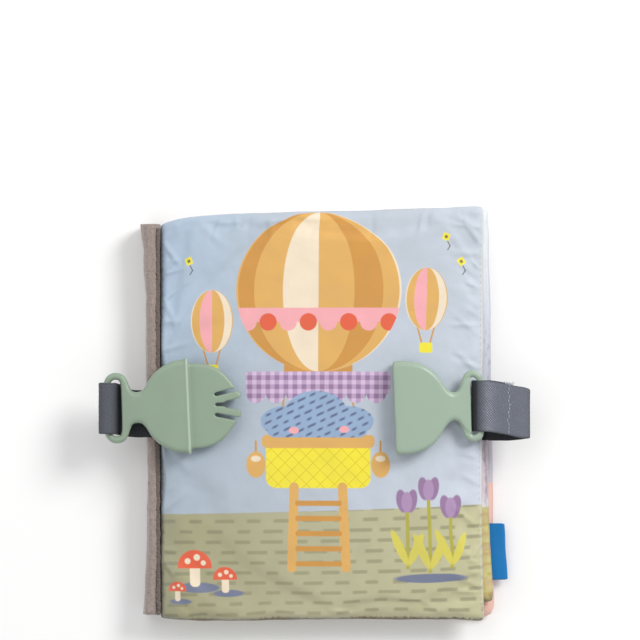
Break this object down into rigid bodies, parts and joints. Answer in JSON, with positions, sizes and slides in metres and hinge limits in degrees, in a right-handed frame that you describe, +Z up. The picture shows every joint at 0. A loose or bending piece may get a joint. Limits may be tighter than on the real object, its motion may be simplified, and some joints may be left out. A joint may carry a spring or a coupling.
{
  "type": "crinkle cloth book",
  "caption": "Padded cloth baby book with crinkle film in its pages, a cloth spine and a push-together clip on webbing straps across the front cover.",
  "frame": {"origin": "on the resting plane, at the plan centre of the whole object with its straps and clip", "axes": "+X from the spine to the fore edge, along the clip's line and the longest side; +Y to the top of the pages; +Z up out of the front cover, the thinnest direction"},
  "size_m": [0.2154, 0.2065, 0.0317],
  "materials": {
    "printed_cloth": null,
    "page_cloth": "smooth printed polyester page cloth",
    "back_cloth": "plain salmon pink woven cloth",
    "spine_cloth": "soft mauve brushed cloth",
    "wadding": "white polyester wadding",
    "crinkle_film": "thin crackling film, hidden in each panel",
    "webbing": "slate grey twill webbing, 25 mm wide",
    "clip_plastic": "satin moulded plastic, sage green",
    "thread": "off-white sewing thread",
    "tag_tape": "plain blue satin tape, no text"
  },
  "bodies": {
    "back_cover": {"back_outer_cloth": "back_cloth", "back_page_cloth": "page_cloth", "back_wadding": "wadding", "back_crinkle_film": "crinkle_film", "back_edge_stitch": "thread", "spine_back_cloth": "spine_cloth", "side_tag": "tag_tape"},
    "inner_leaf": {"leaf_front_page_cloth": "page_cloth", "leaf_back_page_cloth": "page_cloth", "leaf_wadding": "wadding", "leaf_crinkle_film": "crinkle_film", "leaf_edge_stitch": "thread", "leaf_seam_tab": "spine_cloth"},
    "front_cover": {"cover_print_cloth": "printed_cloth", "cover_page_cloth": "page_cloth", "cover_wadding": "wadding", "cover_crinkle_film": "crinkle_film", "cover_edge_stitch": "thread", "spine_seam_stitch": "thread", "spine_front_cloth": "spine_cloth", "left_strap": "webbing", "right_strap": "webbing"},
    "left_strap_end": {"left_strap_loop": "webbing", "left_strap_stitch": "thread"},
    "right_strap_end": {"right_strap_loop": "webbing", "right_strap_stitch": "thread"},
    "male_half": {"male_clip": "clip_plastic"},
    "female_half": {"female_clip": "clip_plastic"}
  },
  "joints": [
    {"name": "leaf_turn", "type": "hinge", "parent": "back_cover", "child": "inner_leaf", "pos_m": [-0.0861, 0.00113, 0.01], "axis": [0, 1, 0], "range_deg": [-175, 0], "deforming": ["spine_back_cloth"]},
    {"name": "cover_turn", "type": "hinge", "parent": "inner_leaf", "child": "front_cover", "pos_m": [-0.0861, 0.00113, 0.01], "axis": [0, -1, 0], "range_deg": [0, 170], "deforming": ["spine_front_cloth"]},
    {"name": "clip_close", "type": "slide", "parent": "front_cover", "child": "left_strap_end", "axis": [1, -0.0098, 0], "range_m": [0, 0.0504], "deforming": ["left_strap"]},
    {"name": "clip_close_right", "type": "slide", "parent": "front_cover", "child": "right_strap_end", "axis": [1, -0.0098, 0], "range_m": [-0.0504, 0], "deforming": ["right_strap"]},
    {"name": "male_clip_swing", "type": "hinge", "parent": "left_strap_end", "child": "male_half", "pos_m": [-0.10288, 0.00216, 0.0267], "axis": [-0.0279, 0.9996, 0], "range_deg": [-150, 0]},
    {"name": "female_clip_swing", "type": "hinge", "parent": "right_strap_end", "child": "female_half", "pos_m": [0.08278, 0.00351, 0.0267], "axis": [0.0279, -0.9996, 0], "range_deg": [-120, 0]}
  ],
  "couplings": [
    {"joint": "clip_close_right", "follows": "clip_close", "ratio": -1}
  ]
}
